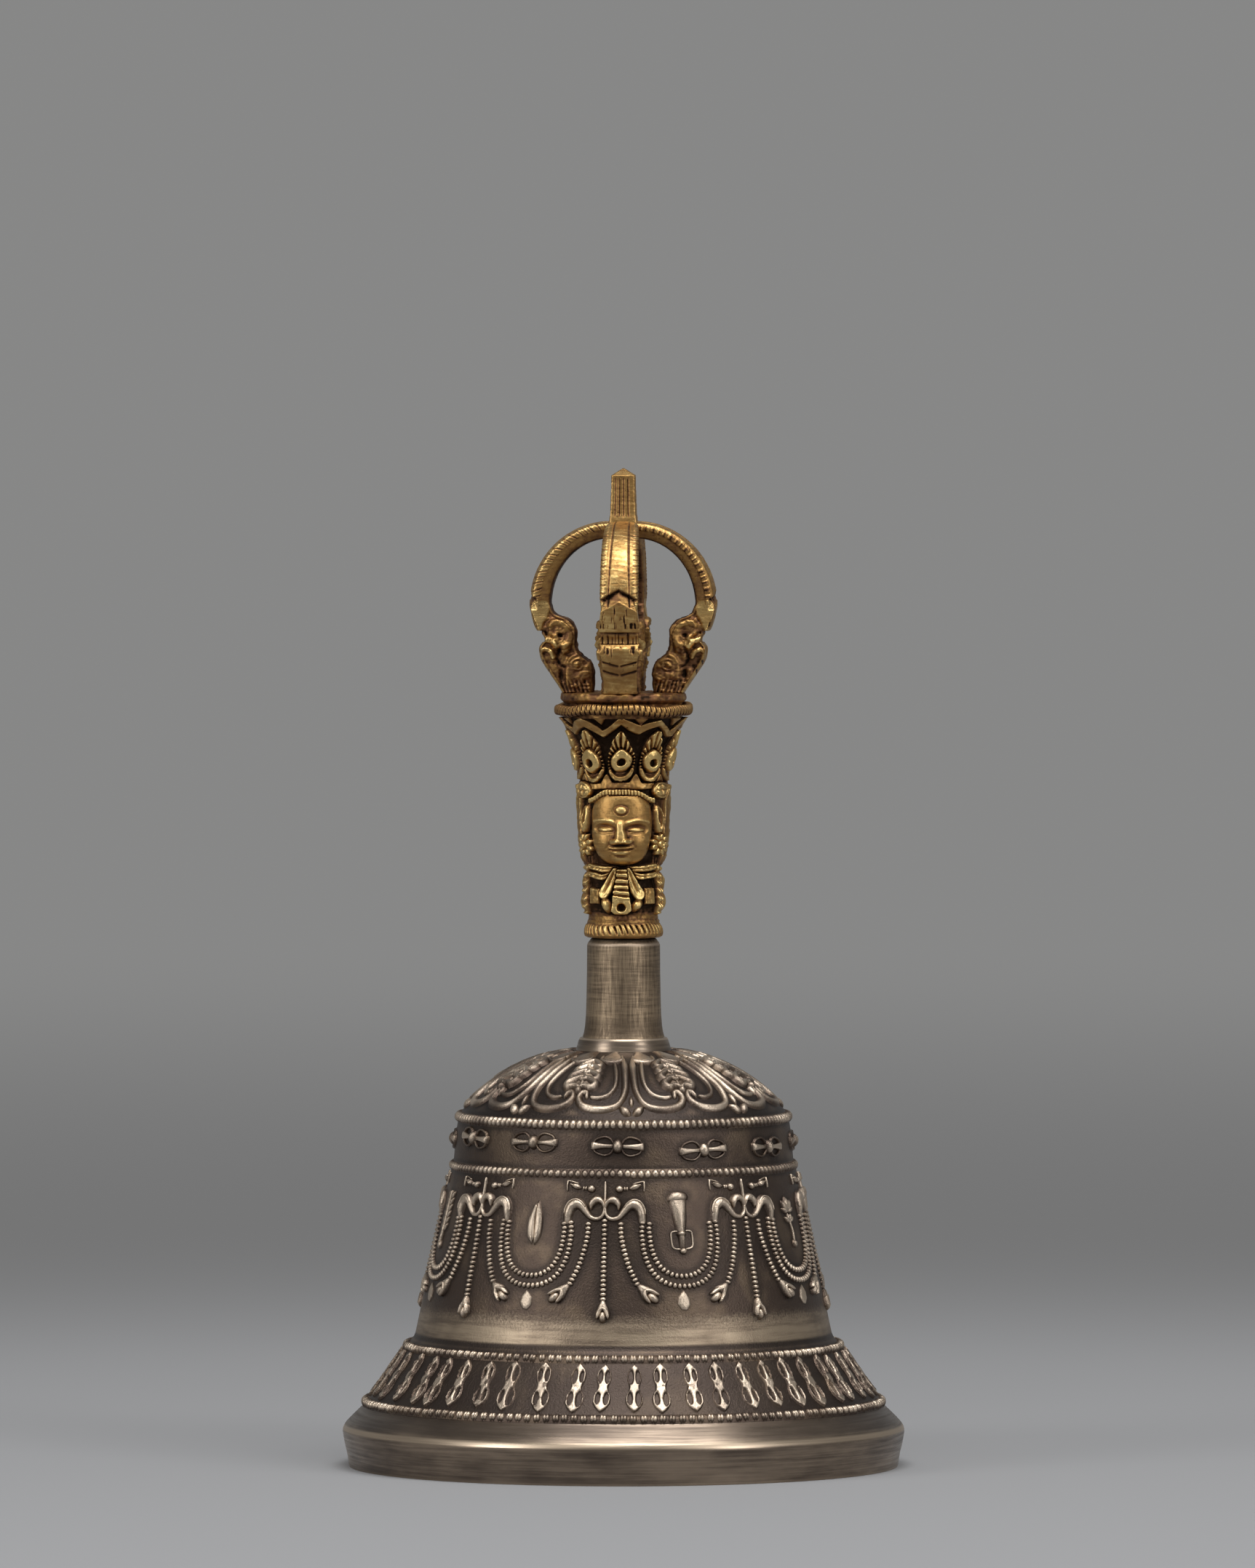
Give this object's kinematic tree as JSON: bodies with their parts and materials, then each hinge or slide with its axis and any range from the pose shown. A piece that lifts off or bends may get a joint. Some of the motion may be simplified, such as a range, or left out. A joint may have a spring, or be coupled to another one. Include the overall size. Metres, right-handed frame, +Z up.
{
  "type": "tibetan hand bell",
  "caption": "Cast ritual hand bell with a flared rim, a turned neck, a brass handle with a crowned head and a half vajra, and a clapper hanging on a wire link.",
  "frame": {"origin": "centre of the circle that the rim stands on", "axes": "+Z up along the bell's axis, -Y towards the side the face on the handle looks to, +X to the viewer's right in the picture"},
  "size_m": [0.1, 0.1, 0.1777],
  "materials": {
    "bell_bronze": "cast bronze with a dark patina, relief rubbed bright",
    "neck_bronze": "turned and brushed",
    "handle_brass": "cast brass, rubbed, dark in the hollows",
    "bolt_steel": "plain steel",
    "clapper_iron": "forged, dark"
  },
  "bodies": {
    "bell": {"bell_body": "bell_bronze", "neck_collar": "neck_bronze", "neck_sleeve": "neck_bronze", "handle_column": "handle_brass", "rope_ring": "handle_brass", "vajra_plate": "handle_brass", "centre_prong": "handle_brass", "prong_front": "handle_brass", "prong_right": "handle_brass", "prong_back": "handle_brass", "prong_left": "handle_brass", "eye_bolt": "bolt_steel", "crown_washer": "bolt_steel", "crown_nut": "bolt_steel"},
    "link": {"clapper_link": "bolt_steel"},
    "clapper": {"clapper_shank": "clapper_iron", "clapper_bulb": "clapper_iron"}
  },
  "joints": [
    {"name": "link_swing", "type": "hinge", "parent": "bell", "child": "link", "pos_m": [0, 0, 0.0554], "axis": [1, 0, 0], "range_deg": [-36, 36]},
    {"name": "clapper_sway", "type": "hinge", "parent": "link", "child": "clapper", "pos_m": [0, 0, 0.0496], "axis": [0, 1, 0], "range_deg": [-14, 14]}
  ]
}
